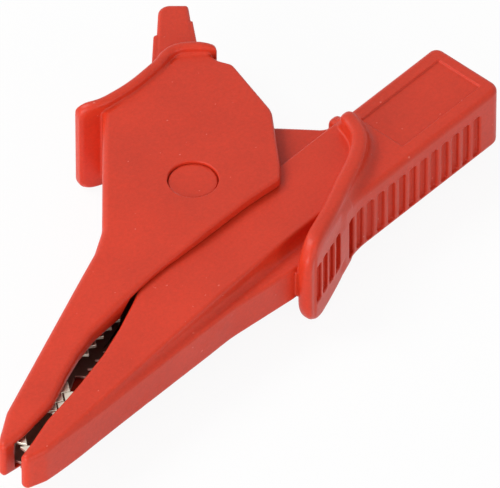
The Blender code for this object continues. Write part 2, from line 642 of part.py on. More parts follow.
def contact_strap(parent, slot):
    """The conductor: a bent strip from the lower jaw's web to the socket's tail."""
    low = line(BODY_FLOOR, FRONT_RIVET_X) + BODY_WALL + 2 * SEAT_GAP + SHEET + 0.1
    high = HANDLE_AXIS_Y - STRAP_THICK / 2 - SEAT_GAP - STRAP_THICK
    path = [(FRONT_RIVET_X - 2.5, low), (SOCKET_REAR - 11.0, low), (SOCKET_REAR - 8.5, high),
            (SOCKET_REAR - 0.7, high)]
    outline = path + [(x, y + STRAP_THICK) for x, y in reversed(path)]
    strap = prism("contact_strap", outline, -STRAP_WIDTH / 2, STRAP_WIDTH / 2)
    cut(strap, rod("strap_hole_front", RIVET_HOLE, 4.0, (FRONT_RIVET_X, low, 0), "Y", 20))
    cut(strap, rod("strap_hole_rear", RIVET_HOLE, 4.0, (REAR_RIVET_X, high, 0), "Y", 20))
    finish(strap, slot, parent)
    jaw_back = line(BODY_FLOOR, FRONT_RIVET_X) + BODY_WALL + SEAT_GAP
    rivet("strap_rivet_front", FRONT_RIVET_X, jaw_back - 0.2, low + STRAP_THICK + 0.2, parent, slot)
    tail_top = HANDLE_AXIS_Y + STRAP_THICK / 2
    rivet("strap_rivet_rear", REAR_RIVET_X, high - 0.2, tail_top + 0.2, parent, slot)


def rivet(name, x, low, high, parent, slot):
    """A turned rivet along Y whose two heads close on low and high."""
    top = high + RIVET_HEAD_THICK
    bottom = low - RIVET_HEAD_THICK
    profile = [(0, top), (RIVET_HEAD * 0.8, top), (RIVET_HEAD, high + 0.1), (RIVET_HEAD, high),
               (RIVET_RADIUS, high), (RIVET_RADIUS, low), (RIVET_HEAD, low), (RIVET_HEAD, low - 0.1),
               (RIVET_HEAD * 0.8, bottom), (0, bottom)]
    mesh = bpy.data.meshes.new(name)
    edges = [(i, i + 1) for i in range(len(profile) - 1)]
    mesh.from_pydata([(r * MM, 0, h * MM) for r, h in profile], edges, [])
    piece = placed(name, mesh)
    turned = piece.modifiers.new("turned", "SCREW")
    turned.steps = 20
    turned.render_steps = 20
    turned.use_merge_vertices = True
    turned.merge_threshold = 1e-6
    turned.use_smooth_shade = True
    piece.rotation_euler = (math.radians(-90), 0, 0)
    piece.location = (x * MM, 0, 0)
    piece.data.materials.append(slot)
    piece.parent = parent


def main():
    red = material("red_plastic", (0.60, 0.07, 0.045), 0.45)
    dark_red = material("red_insert", (0.50, 0.05, 0.035), 0.5)
    plated = material("nickel_plate", (0.66, 0.62, 0.55), 0.3, 1.0)
    steel = material("spring_steel", (0.45, 0.45, 0.47), 0.35, 1.0)

    hinge = placed("lever_hinge", None)
    tab_top = max(y for x, y in rounded(THUMB_TAB))
    CLIP.location = ((NOSE_REACH - HANDLE_END) / 2 * MM, -(tab_top + GUARD_TIP_Y) / 2 * MM, GUARD_HALF * MM)

    handle_body(CLIP, red)
    lever_body(hinge, red)
    lower_jaw(CLIP, plated)
    upper_jaw(hinge, plated)
    pivot_pin(CLIP, steel)
    torsion_spring(CLIP, steel)
    socket(CLIP, plated, dark_red)
    contact_strap(CLIP, plated)

    # The Booleans wait until every solid is there
    for piece in bpy.data.objects:
        for step in piece.modifiers:
            step.show_viewport = True


for old in list(bpy.data.objects):
    bpy.data.objects.remove(old)
PARTS = collection("crocodile_clip")
CUTTERS = collection("cutters")
CLIP = bpy.data.objects.new("clip", None)
PARTS.objects.link(CLIP)
main()
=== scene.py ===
import math

import bmesh
import bpy
import numpy as np
from bpy.props import FloatProperty, FloatVectorProperty, PointerProperty
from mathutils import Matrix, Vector


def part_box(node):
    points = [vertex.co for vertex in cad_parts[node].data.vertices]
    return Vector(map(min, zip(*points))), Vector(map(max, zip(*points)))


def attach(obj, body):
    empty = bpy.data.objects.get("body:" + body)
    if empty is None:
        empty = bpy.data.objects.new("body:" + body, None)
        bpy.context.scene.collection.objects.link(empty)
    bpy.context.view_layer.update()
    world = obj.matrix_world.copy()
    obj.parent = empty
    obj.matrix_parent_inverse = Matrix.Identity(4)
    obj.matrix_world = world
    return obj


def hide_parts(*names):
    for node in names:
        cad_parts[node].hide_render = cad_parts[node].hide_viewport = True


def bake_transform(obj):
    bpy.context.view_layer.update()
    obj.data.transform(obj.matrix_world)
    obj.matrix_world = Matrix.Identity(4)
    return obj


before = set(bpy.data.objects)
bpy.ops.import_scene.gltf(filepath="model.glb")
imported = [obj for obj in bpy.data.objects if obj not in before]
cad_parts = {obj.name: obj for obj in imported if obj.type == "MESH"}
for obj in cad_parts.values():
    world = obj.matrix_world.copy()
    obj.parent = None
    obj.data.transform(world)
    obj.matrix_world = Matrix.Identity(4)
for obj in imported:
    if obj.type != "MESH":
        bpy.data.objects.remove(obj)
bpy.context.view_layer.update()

bl_info = {
    "name": "Insulated crocodile clip",
    "version": (1, 0, 0),
    "blender": (4, 5, 0),
    "location": "View3D > Sidebar > Clip",
    "description": "Mouldings, plated jaws, spring and contact of a crocodile clip, round its solids",
    "category": "Object",
}

MM = 0.001

# The pin's middle is the origin of every size below, in millimetres: X to the handle's end, Y to the lever
PIVOT = np.array((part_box("pivot_pin")[0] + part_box("pivot_pin")[1]) / 2)
SPRING_LOW, SPRING_HIGH = [(np.array(corner) - PIVOT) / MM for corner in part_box("torsion_spring")]
HANDLE_LOW, HANDLE_HIGH = [(np.array(corner) - PIVOT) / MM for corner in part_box("handle_body")]
LEVER_LOW, LEVER_HIGH = [(np.array(corner) - PIVOT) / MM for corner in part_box("lever_body")]
NOSE_REACH = -LEVER_LOW[0]
HANDLE_END = HANDLE_HIGH[0]
GUARD_HALF = HANDLE_HIGH[2]
GUARD_TIP_Y = HANDLE_LOW[1]
FAR = 80.0

# Half widths across the clip, of pieces and of their hollows
NOSE_HALF = 3.14
BODY_HALF = 5.43
LEVER_HALF = 7.14
SHIELD_HALF = 4.0
KEEL_HALF = 3.0
RIB_HALF = 2.35
TAB_HALF = 5.4
PIN_SEAT_HALF = 5.35
CHANNEL_HALF = 4.05
CHANNEL_TIP_HALF = 2.4
SLIDE_GAP = 0.14

# Places and walls of the handle
HANDLE_AXIS_Y = -12.48
HANDLE_INNER_Y = -6.105
HANDLE_OUTER_Y = -18.855
KEEL_Y = -19.055
CHEEK_Y = -16.955
CHEEK_FALL = 1.6
FLUTE_END_X = 10.5
BODY_WALL = 1.4
SHIELD_WALL = 1.2
HANDLE_GUARD_HALF_WALL = 1.2
GUARD_NOTCH = 3.2
JAW_TIP_X = -NOSE_REACH + 2.2
BULKHEAD_X = HANDLE_END - 22.6
BULKHEAD = 2.5
SOCKET_BORE_RADIUS = 4.15
TUBE_HOLE_RADIUS = 2.85
TUBE_HOLE_BEYOND = 1.5
TUBE_HOLE_HALF_LENGTH = 4.0

# The hinge and the lever
BOSS_RADIUS = 3.58
HINGE_GAP = 0.09
DISC_RECESS = 0.4
PIN_SEAT_RADIUS = 2.5
LEVER_WALL = 1.5
LEVER_GUARD_WALL = 1.6

# A row of grooves is its first place along X, its pitch and its count. The rest come before the first
SIDE_GROOVES = (HANDLE_END - 5.35, 2.29, 13)
SIDE_GROOVE_HALF = 3.7
SIDE_GROOVE_SHIFT = 0.9
RAMP_GROOVES = (8.05, 2.05, 4)
RAMP_GROOVE_HALF = 3.6
RAMP_GROOVE_DROP = 0.2
RAMP_END_X = 9.6
GROOVE_FLAT_HALF = 0.42
GROOVE_CORNER = 0.28
GROOVE_STRAIGHT = 0.3
LABEL_X = HANDLE_END - 10.4
LABEL_HALF_LENGTH = 8.3
LABEL_HALF_HEIGHT = 4.0
LABEL_DEPTH = 0.3

# Radii of the edges that repeat
FINE_EDGE = 0.1
GROOVE_EDGE = 0.12
HOLLOW_EDGE = 0.2
SHIELD_EDGE = 0.4

COIL_RADIUS = 3.2
COIL_PITCH = 0.98
COIL_ANGLES = (30.0, 1420.0)
COIL_POINTS = 300
LEG_POINTS = 12
LEG_START = 0.3

# How the skins are worked out: slabs of the grid, and steps onto the surface that are each kept short
SLABS = 6
SETTLING_STEPS = 4
LONGEST_STEP = 0.15
LEAST_SLOPE = 0.1
NORMAL_REACH = 0.1

RAMP = [(1.2, GUARD_TIP_Y + 0.25), (12.1, HANDLE_OUTER_Y - 0.05)]
GUARD_FRONT = [(23.4, -4.6), (22.8, -8.2), (21.2, -11.3), (17.8, -13.55), (13.7, -15.25), (7.1, -18.05),
               (-0.56, GUARD_TIP_Y + 2.15)]
LEVER_GUARD = [(-1.5, 20.9), (1.6, 19.2), (4.8, 18.5), (8.5, 18.2), (13.2, 18.4), (17.4, 18.7), (21.4, 14.9)]


def nose(share):
    """The x of a station in the noses, as a share of their reach."""
    return -NOSE_REACH * share


LEVER_UPPER = [(nose(0.998), -12.4), (nose(0.901), -9.45), (nose(0.460), -0.85), (nose(0.358), 1.1),
               (nose(0.285), 3.3)]
LEVER_LOWER = [(nose(0.985), -14.5), (nose(0.929), -14.2), (nose(0.803), -13.4), (nose(0.708), -11.3),
               (nose(0.639), -10.0), (nose(0.560), -9.0), (nose(0.456), -8.6), (nose(0.373), -8.3),
               (nose(0.321), -8.2)]
BODY_INNER = [(nose(0.992), -16.7), (nose(0.934), -16.0), (nose(0.853), -14.8), (nose(0.780), -14.3),
              (nose(0.708), -13.7), (nose(0.592), -12.4), (nose(0.498), -10.8), (nose(0.409), -8.9)]
BODY_FLOOR = [(nose(0.971), KEEL_Y), (nose(0.806), KEEL_Y), (0.0, KEEL_Y + 1.6)]
BODY_TAPER = ([-NOSE_REACH, nose(0.256)], [NOSE_HALF, BODY_HALF])


def follow(points, x):
    """The height at x of a line through points sorted by x, carried on straight past its ends."""
    xs, ys = np.array(points, float).T
    place = np.clip(np.searchsorted(xs, x), 1, len(xs) - 1)
    slope = (ys[place] - ys[place - 1]) / (xs[place] - xs[place - 1])
    return ys[place - 1] + slope * (x - xs[place - 1])


def rounded(corners, steps=10):
    """A closed outline whose corners (x, y, radius) are turned into arcs, each tangent to its two sides. An
    arc takes up less than half of either side, and a corner whose arc would be tiny stays sharp."""
    points = []
    for i, (x, y, radius) in enumerate(corners):
        here = Vector((x, y))
        back = Vector(corners[i - 1][:2]) - here
        on = Vector(corners[(i + 1) % len(corners)][:2]) - here
        half = back.angle(on) / 2
        reach = min(radius / math.tan(half), 0.49 * back.length, 0.49 * on.length) if radius else 0
        if reach < 0.02:
            points.append((x, y))
            continue
        centre = here + (back.normalized() + on.normalized()).normalized() * reach / math.cos(half)
        start = here + back.normalized() * reach - centre
        turn = start.angle_signed(here + on.normalized() * reach - centre)
        angles = np.linspace(0, turn, steps + 1)
        points += [(centre.x + start.x * math.cos(a) + start.y * math.sin(a),
                    centre.y - start.x * math.sin(a) + start.y * math.cos(a)) for a in angles]
    return points


def smooth_line(points, steps=8):
    """A Catmull-Rom curve: between two points it is the cubic whose slopes are half the chord past each."""
    knots = np.array(points, float)
    ends = np.vstack([2 * knots[0] - knots[1], knots, 2 * knots[-1] - knots[-2]])
    t = np.linspace(0, 1, steps, endpoint=False)[:, None]
    parts = []
    for a, b, c, d in zip(ends, ends[1:], ends[2:], ends[3:]):
        square = 2 * a - 5 * b + 4 * c - d
        cube = 3 * b - a - 3 * c + d
        parts.append(0.5 * (2 * b + (c - a) * t + square * t ** 2 + cube * t ** 3))
    return np.vstack(parts + [knots[-1:]])


def moved(points, distance):
    """A curve moved sideways: each point, and the distance times the tangent turned a quarter to the left."""
    slope = np.gradient(points, axis=0)
    normal = np.stack([-slope[:, 1], slope[:, 0]], 1) / np.linalg.norm(slope, axis=1)[:, None]
    return points + normal * distance


def wall_outline(points, thick):
    """The outline of a wall along a curve: the curve, and the same curve moved by the wall's thickness."""
    return [tuple(p) for p in np.vstack([points, moved(points, thick)[::-1]])]


def inside_outline(outline, x, y):
    """Signed distance to a closed outline: the least distance to its edges, below zero where a ray from the
    point crosses the edges an odd number of times."""
    x, y = np.broadcast_arrays(np.asarray(x, np.float32), np.asarray(y, np.float32))
    least = np.full(x.shape, 1e9, np.float32)
    inside = np.zeros(x.shape, bool)
    for (ax, ay), (bx, by) in zip(outline, outline[1:] + outline[:1]):
        ex = bx - ax
        ey = by - ay
        px = x - np.float32(ax)
        py = y - np.float32(ay)
        t = np.clip((px * ex + py * ey) / (ex * ex + ey * ey + 1e-12), 0, 1)
        least = np.minimum(least, (px - ex * t) ** 2 + (py - ey * t) ** 2)
        if ay != by:
            inside ^= ((ay > y) != (by > y)) & (px < ex * py / ey)
    return np.where(inside, -1, 1) * np.sqrt(least)


def near_line(points, x, y):
    """The distance to an open line: the least distance to its pieces."""
    least = np.float32(1e9)
    for (ax, ay), (bx, by) in zip(points, points[1:]):
        ex = bx - ax
        ey = by - ay
        t = np.clip(((x - ax) * ex + (y - ay) * ey) / (ex * ex + ey * ey), 0, 1)
        least = np.minimum(least, (x - ax - ex * t) ** 2 + (y - ay - ey * t) ** 2)
    return np.sqrt(least)


def from_row(x, first, pitch, count):
    """The distance along X from the nearest of a row of places: the first, and the others before it."""
    return x - first + np.clip(np.round((first - x) / pitch), 0, count - 1) * pitch


def joined(a, b, radius):
    """Union of two distances with a round fillet: inside the corner it is the radius less the length of the
    two shortfalls."""
    fall = np.hypot(np.maximum(radius - a, 0), np.maximum(radius - b, 0))
    return np.maximum(radius, np.minimum(a, b)) - fall


def met(a, b, radius):
    """Intersection of two distances with a rounded edge, the mirror image of the filleted union."""
    return -joined(-a, -b, radius)


def less(a, b, radius):
    """The first shape without the second, with a rounded edge."""
    return met(a, -b, radius)


def spaced(low, high, stops):
    """Positions from low to high whose spacing follows the stops (position, step)."""
    places, steps = zip(*stops)
    axis = [low - 3 * steps[0]]
    while axis[-1] < high + 3 * steps[-1]:
        axis.append(axis[-1] + np.interp(axis[-1], places, steps))
    return np.array(axis)


def sample(grid, places):
    """Trilinear values of a grid at places in cell units: eight corners, each weighted by how near it is."""
    base = np.clip(places.astype(int), 0, np.array(grid.shape[:3]) - 2)
    part = places - base
    total = 0
    for corner in np.ndindex(2, 2, 2):
        weight = np.prod(np.where(corner, part, 1 - part), axis=1)
        spot = tuple((base + corner).T)
        total = total + weight[:, None] * grid[spot]
    return total


def crossed_edges(value):
    """The grid edges with one end inside the zero level: for each, the four cells round it as one ring that
    runs anticlockwise seen from outside, and the crossing's place in cell units, by linear interpolation."""
    rings = []
    crossings = []
    for axis in range(3):
        count = value.shape[axis]
        first = value.take(range(count - 1), axis)
        last = value.take(range(1, count), axis)
        at = np.argwhere((first < 0) != (last < 0))
        v0 = first[tuple(at.T)]
        v1 = last[tuple(at.T)]
        crossing = at.astype(float)
        crossing[:, axis] += v0 / (v0 - v1)
        crossings.append(crossing)
        side = (axis + 1) % 3
        up = (axis + 2) % 3
        ring = []
        for back_side, back_up in ((0, 0), (1, 0), (1, 1), (0, 1)):
            cell = at.copy()
            cell[:, side] -= back_side
            cell[:, up] -= back_up
            ring.append(np.ravel_multi_index(tuple(cell.T), value.shape))
        ring = np.stack(ring, 1)
        ring[v0 > 0] = ring[v0 > 0][:, ::-1]
        rings.append(ring)
    return np.concatenate(rings), np.concatenate(crossings)


def outward(field, point):
    """Unit normals of a field at points: its differences over a short reach on each axis, made 1 long."""
    nudges = np.eye(3) * NORMAL_REACH
    normal = np.stack([field(*(point + nudge).T) - field(*(point - nudge).T) for nudge in nudges], 1)
    return normal / np.linalg.norm(normal, axis=1)[:, None]


def moulded(name, field, axes):
    """A closed skin on the zero level of a distance field, on a grid with the given positions on each axis.
    One point stands in each grid cell that the skin crosses, at the mean of the crossings on the cell's
    edges, and is then moved along the field's slope onto the level. One face joins the four cells round each
    crossed edge."""
    value = np.concatenate([
        field(part[:, None, None], axes[1][None, :, None], axes[2][None, None, :]).astype(np.float32)
        for part in np.array_split(axes[0], SLABS)])
    slope = np.stack(np.gradient(value, *axes), axis=-1).astype(np.float32)
    rings, crossings = crossed_edges(value)
    cells, index = np.unique(rings.ravel(), return_inverse=True)
    crossings = np.repeat(crossings, 4, axis=0)
    share = np.bincount(index)[:, None]
    place = np.stack([np.bincount(index, crossings[:, k]) for k in range(3)], 1) / share
    counts = [np.arange(len(axis)) for axis in axes]
    point = np.stack([np.interp(place[:, k], counts[k], axes[k]) for k in range(3)], 1)
    for _ in range(SETTLING_STEPS):
        place = np.stack([np.interp(point[:, k], axes[k], counts[k]) for k in range(3)], 1)
        normal = sample(slope, place)
        size = np.maximum((normal ** 2).sum(axis=1), LEAST_SLOPE)[:, None]
        point -= normal / size * np.clip(field(*point.T), -LONGEST_STEP, LONGEST_STEP)[:, None]
    piece = meshed(name, point, np.searchsorted(cells, rings))
    piece.data.normals_split_custom_set_from_vertices(outward(field, point))
    return piece


def meshed(name, points, faces):
    """An object from points in millimetres round the pin, and faces that all have as many corners."""
    mesh = bpy.data.meshes.new(name)
    faces = np.asarray(faces)
    mesh.vertices.add(len(points))
    mesh.vertices.foreach_set("co", (np.asarray(points) * MM + PIVOT).ravel())
    mesh.loops.add(faces.size)
    mesh.loops.foreach_set("vertex_index", faces.ravel())
    mesh.polygons.add(len(faces))
    mesh.polygons.foreach_set("loop_start", np.arange(0, faces.size, faces.shape[1]))
    mesh.polygons.foreach_set("use_smooth", np.ones(len(faces), bool))
    mesh.update(calc_edges=True)
    mesh.validate()
    piece = bpy.data.objects.new(name, mesh)
    bpy.context.scene.collection.objects.link(piece)
    return piece


def spring_path(wire):
    """The middle of the spring's wire: a coil (radius cos a, radius sin a, pitch a / turn), with a straight
    leg off each end along its tangent, one to the handle's floor and one to the lever's roof."""
    first, last = np.radians(COIL_ANGLES)
    angle = np.linspace(first, last, COIL_POINTS)
    height = COIL_PITCH * (angle - (first + last) / 2) / (2 * math.pi)
    coil = np.stack([COIL_RADIUS * np.cos(angle), COIL_RADIUS * np.sin(angle), height], 1)
    floor = SPRING_LOW[1] + wire * math.sin(first)
    roof = SPRING_HIGH[1] + wire * math.sin(last)
    down = np.linspace((coil[0, 1] - floor) / math.cos(first), LEG_START, LEG_POINTS)[:, None]
    up = np.linspace(LEG_START, (roof - coil[-1, 1]) / math.cos(last), LEG_POINTS)[:, None]
    first_leg = coil[0] + down * np.array([math.sin(first), -math.cos(first), 0])
    last_leg = coil[-1] + up * np.array([-math.sin(last), math.cos(last), 0])
    return np.vstack([first_leg, coil, last_leg])


def wire_along(name, path, radius, sides=16):
    """A round wire: at each point of the path, the point + radius (cos a across + sin a up), where across is
    the tangent turned a quarter round Z, and up is across turned a quarter round the tangent. A smaller ring
    a little beyond each end rounds the edge of the cut."""
    tangent = np.gradient(path, axis=0)
    tangent /= np.linalg.norm(tangent, axis=1)[:, None]
    across = np.cross(tangent, (0.0, 0.0, 1.0))
    across /= np.linalg.norm(across, axis=1)[:, None]
    up = np.cross(across, tangent)
    angle = np.linspace(0, 2 * math.pi, sides, endpoint=False)[None, :, None]
    beyond = tangent * 0.3 * radius
    centres = np.vstack([path[:1] - beyond[:1], path, path[-1:] + beyond[-1:]])
    across, up = [np.vstack([v[:1], v, v[-1:]])[:, None] for v in (across, up)]
    sizes = np.full(len(centres), radius)
    sizes[[0, -1]] = 0.7 * radius
    points = centres[:, None] + sizes[:, None, None] * (np.cos(angle) * across + np.sin(angle) * up)
    start = (np.arange(len(centres) - 1) * sides)[:, None]
    here = np.arange(sides)[None]
    on = (here + 1) % sides
    skin = np.stack([start + here, start + sides + here, start + sides + on, start + on], -1).reshape(-1, 4)
    strip = np.arange(sides // 2 - 1)[:, None]
    first_cap = np.hstack([strip, strip + 1, sides - 2 - strip, sides - 1 - strip])
    last_cap = (first_cap + (len(centres) - 1) * sides)[:, ::-1]
    return meshed(name, points.reshape(-1, 3), np.vstack([skin, first_cap, last_cap]))


def softened(node, width):
    """A copy of a solid with its corners merged, its flat faces joined and its edges rounded."""
    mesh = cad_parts[node].data.copy()
    mesh.name = node + "_finished"
    shape = bmesh.new()
    shape.from_mesh(mesh)
    bmesh.ops.remove_doubles(shape, verts=shape.verts, dist=1e-6)
    bmesh.ops.dissolve_limit(shape, angle_limit=math.radians(1), verts=shape.verts, edges=shape.edges)
    shape.to_mesh(mesh)
    shape.free()
    for name in ("custom_normal", "sharp_face", "sharp_edge"):
        if name in mesh.attributes:
            mesh.attributes.remove(mesh.attributes[name])
    mesh.polygons.foreach_set("use_smooth", np.ones(len(mesh.polygons), bool))
    piece = bpy.data.objects.new(mesh.name, mesh)
    bpy.context.scene.collection.objects.link(piece)
    edges = piece.modifiers.new("edges", "BEVEL")
    edges.width = width * MM
    edges.segments = 2
    edges.limit_method = "ANGLE"
    edges.angle_limit = math.radians(35)
    edges.harden_normals = True
    return piece


def nose_and_block(x, y, depth):
    """The handle's nose and body, whose width follows a taper, and the block round the socket."""
    inner_edge = [(px, py, 6.0) for px, py in BODY_INNER[1:-1]]
    plan = rounded([
        (12.5, HANDLE_OUTER_Y, 0), (15.0, CHEEK_Y + 0.8, 0), (22.4, -12.0, 0), (23.4, HANDLE_INNER_Y, 0),
        (8.6, HANDLE_INNER_Y, 2.0), (8.6, 7.6, 7.4), (-8.6, 7.6, 7.4), (nose(0.180), -3.0, 5.0),
        (*BODY_INNER[-1], 4.0), *inner_edge[::-1], (*BODY_INNER[0], 0.6), (nose(0.992), KEEL_Y + 1.1, 0.8),
        (nose(0.934), KEEL_Y + 0.2, 4.0), (nose(0.800), KEEL_Y, 20.0), (nose(0.230), KEEL_Y, 20.0),
        (-1.0, KEEL_Y - 1.2, 6.0), (6.0, KEEL_Y - 1.3, 0.0)])
    edge = np.interp(x, [nose(0.95), nose(0.8), -6.0], [0.8, 0.6, 0.4])
    body = met(inside_outline(plan, x, y), depth - np.interp(x, *BODY_TAPER), edge)
    block_plan = rounded([(HANDLE_END, HANDLE_OUTER_Y, 1.8), (HANDLE_END, HANDLE_INNER_Y, 1.4),
                          (12.0, HANDLE_INNER_Y, 0), (12.0, HANDLE_OUTER_Y, 0)])
    return np.minimum(body, met(inside_outline(block_plan, x, y), depth - BODY_HALF, 0.85))


def flutes(x, y, depth):
    """The flutes between the cheeks and the keel. The cheeks' edge falls evenly towards the nose."""
    cheek = CHEEK_Y + np.minimum(x, 0) * CHEEK_FALL / (NOSE_REACH * 0.8)
    return np.maximum(met(y - cheek, KEEL_HALF - depth, 1.0), x - FLUTE_END_X)


def shield(x, y, depth):
    """The shield between the handle's block and the lever."""
    plan = rounded([
        (25.5, HANDLE_INNER_Y - 2.0, 0), (24.4, HANDLE_INNER_Y + 0.2, 0), (22.3, -4.6, 1.0), (18.1, 0.6, 3.0),
        (12.5, 6.6, 3.0), (7.0, 8.0, 0), (4.0, -2.0, 0), (8.0, -9.0, 0)])
    return met(inside_outline(plan, x, y), depth - SHIELD_HALF, SHIELD_EDGE)


def handle_guard(x, y, z):
    """The handle's guard, and the radius of its fillet with the body. The guard is a wall round a curve, met
    with its view from the nose, and a ramp behind it, both kept inside a round-nosed side view."""
    front = smooth_line(GUARD_FRONT)
    wall = near_line(moved(front, HANDLE_GUARD_HALF_WALL), x, y) - HANDLE_GUARD_HALF_WALL
    notch = GUARD_HALF - GUARD_NOTCH
    view = rounded([
        (-30.0, -GUARD_HALF, 0), (-30.0, GUARD_HALF, 0), (-7.2, GUARD_HALF, 2.0), (-6.6, notch + 0.2, 0.5),
        (-4.4, notch - 0.2, 1.5), (-4.4, 0.2 - notch, 1.5), (-6.6, -0.2 - notch, 0.5),
        (-7.2, -GUARD_HALF, 2.0)])
    side_view = rounded([(-1.0, -GUARD_HALF, 5.2), (FAR, -GUARD_HALF, 0), (FAR, GUARD_HALF, 0),
                         (-1.0, GUARD_HALF, 5.2)])
    side = inside_outline(side_view, x, z)
    wall = met(met(wall, inside_outline(view, y, z), 1.0), side, 1.0)
    ramp_plan = [RAMP[1], (13.6, HANDLE_OUTER_Y + 1.0), (8.3, HANDLE_OUTER_Y + 0.2), (1.9, GUARD_TIP_Y + 1.5),
                 RAMP[0]]
    ramp_half = np.interp(x, [3.0, 4.3, 10.1, 13.5], [GUARD_HALF, 7.85, 6.9, BODY_HALF])
    ramp = met(met(inside_outline(ramp_plan, x, y), np.abs(z) - ramp_half, 1.0), side, 2.2)
    behind = inside_outline([*front, (FAR, -FAR), (FAR, -4.6)], x, y)
    return np.maximum(joined(wall, ramp, 0.9), side), np.interp(behind, [-1.6, -0.9], [1.8, 0.4])


def grooves(x, y, z):
    """The grooves for the fingers, on the handle's outer side and on the ramp. Each is open outward, with a
    flat floor, round corners and straight sides, and is met with its reach across."""
    on_ramp = x < RAMP_END_X
    along = np.where(on_ramp, from_row(x, *RAMP_GROOVES), from_row(x, *SIDE_GROOVES))
    above = y - np.where(on_ramp, follow(RAMP, x) - RAMP_GROOVE_DROP, HANDLE_OUTER_Y)
    reach = np.where(on_ramp, np.abs(z) - RAMP_GROOVE_HALF, np.abs(z + SIDE_GROOVE_SHIFT) - SIDE_GROOVE_HALF)
    sideways = np.maximum(np.abs(along) - GROOVE_FLAT_HALF, 0)
    section = np.hypot(sideways, np.maximum(above - GROOVE_STRAIGHT, 0)) - GROOVE_CORNER
    return met(section, reach, 0.3)


def hollowed(body, x, y, z):
    """The handle less the jaw's channel, the spring's room in the shield, the pin's seat, the socket's bore
    and the contact tube's hole in the bulkhead."""
    depth = np.abs(z)
    floor = [(px, float(follow(BODY_FLOOR, px)) + BODY_WALL) for px in (JAW_TIP_X, nose(0.806), 0.0)]
    channel_plan = floor + [(BULKHEAD_X, floor[-1][1]), (BULKHEAD_X, HANDLE_INNER_Y - BODY_WALL),
                            (12.0, HANDLE_INNER_Y - BODY_WALL), (9.0, -4.0), (9.0, FAR), (JAW_TIP_X, FAR)]
    channel_half = np.interp(x, [JAW_TIP_X, 0.0], [CHANNEL_TIP_HALF, CHANNEL_HALF])
    channel = np.maximum(inside_outline(channel_plan, x, y), depth - channel_half)
    body = less(body, channel, HOLLOW_EDGE)
    room_plan = [(8.5, -10.0), (21.0, -10.0), (21.4, -5.6), (16.9, -0.1), (11.8, 5.2), (8.5, 6.2)]
    room = np.maximum(inside_outline(room_plan, x, y), depth - (SHIELD_HALF - SHIELD_WALL))
    body = less(body, room, FINE_EDGE)
    body = less(body, np.maximum(np.hypot(x, y) - PIN_SEAT_RADIUS, depth - PIN_SEAT_HALF), FINE_EDGE)
    off_axis = np.hypot(y - HANDLE_AXIS_Y, z)
    body = less(body, np.maximum(off_axis - SOCKET_BORE_RADIUS, BULKHEAD_X + BULKHEAD - x), 0.3)
    hole_length = np.abs(x - BULKHEAD_X - TUBE_HOLE_BEYOND) - TUBE_HOLE_HALF_LENGTH
    return less(body, np.maximum(off_axis - TUBE_HOLE_RADIUS, hole_length), FINE_EDGE)


def handle_field(x, y, z):
    """The handle's moulding: nose, body and block, a shield, a guard, a rib on the keel and two bosses,
    joined with fillets, less the flutes, grooves, label recesses and hollows."""
    depth = np.abs(z)
    body = less(nose_and_block(x, y, depth), flutes(x, y, depth), 0.45)
    body = joined(body, shield(x, y, depth), SHIELD_EDGE)
    guard, fillet = handle_guard(x, y, z)
    body = joined(body, guard, fillet)
    rib = met(np.maximum(np.abs(x) - 0.6, KEEL_Y - 1.6 - y), depth - RIB_HALF, 0.2)
    body = joined(body, np.maximum(rib, y - KEEL_Y + 0.5), FINE_EDGE)
    body = less(body, grooves(x, y, z), GROOVE_EDGE)
    label = np.maximum(np.abs(x - LABEL_X) - LABEL_HALF_LENGTH, np.abs(y - HANDLE_AXIS_Y) - LABEL_HALF_HEIGHT)
    body = less(body, np.maximum(label, BODY_HALF - LABEL_DEPTH - depth), GROOVE_EDGE)
    boss = met(np.hypot(x, y) - BOSS_RADIUS, depth - (LEVER_HALF - DISC_RECESS), 0.15)
    return hollowed(joined(body, boss, FINE_EDGE), x, y, z)


def lever_plates(x, y, depth):
    """The lever's two plates and nose, in one outline whose width follows a taper."""
    lower_edge = [(px, py, 4.0) for px, py in LEVER_LOWER[1:]]
    plan = rounded([
        (-NOSE_REACH, -14.0, 0.6), (-NOSE_REACH, -12.7, 1.2), (*LEVER_UPPER[1], 3.0), (*LEVER_UPPER[2], 20.0),
        (*LEVER_UPPER[3], 6.0), (*LEVER_UPPER[4], 6.0), (1.6, 19.0, 0.6), (4.8, 18.7, 0), (8.5, 18.2, 0),
        (13.2, 18.5, 0), (17.9, 18.8, 0), (20.5, 15.8, 0), (20.5, 13.8, 0.4), (21.3, 11.8, 1.5),
        (18.05, 1.2, 4.0), (10.6, -7.2, 2.0), (8.5, -9.1, 1.0), (2.6, -8.6, 0), (nose(0.143), -8.5, 0),
        *lower_edge[::-1]])
    half = np.interp(x, [-NOSE_REACH, nose(0.403), nose(0.110)], [NOSE_HALF, 6.1, LEVER_HALF])
    # The edge is rounder on the nose and along its slope up to the guard
    edge = np.interp(0.72 * y - 0.69 * x, [6.0, 11.0], [0.5, 1.0])
    return met(inside_outline(plan, x, y), depth - half, edge)


def lever_guard(x, y, z):
    """The lever's guard: a curved wall, met with its view from above."""
    wall = inside_outline(wall_outline(smooth_line(LEVER_GUARD), LEVER_GUARD_WALL), x, y)
    view = rounded([(-1.4, -GUARD_HALF, 2.0), (22.9, -GUARD_HALF, 2.6), (22.9, GUARD_HALF, 2.6),
                    (-1.4, GUARD_HALF, 2.6)])
    return met(wall, inside_outline(view, x, z), 0.7)


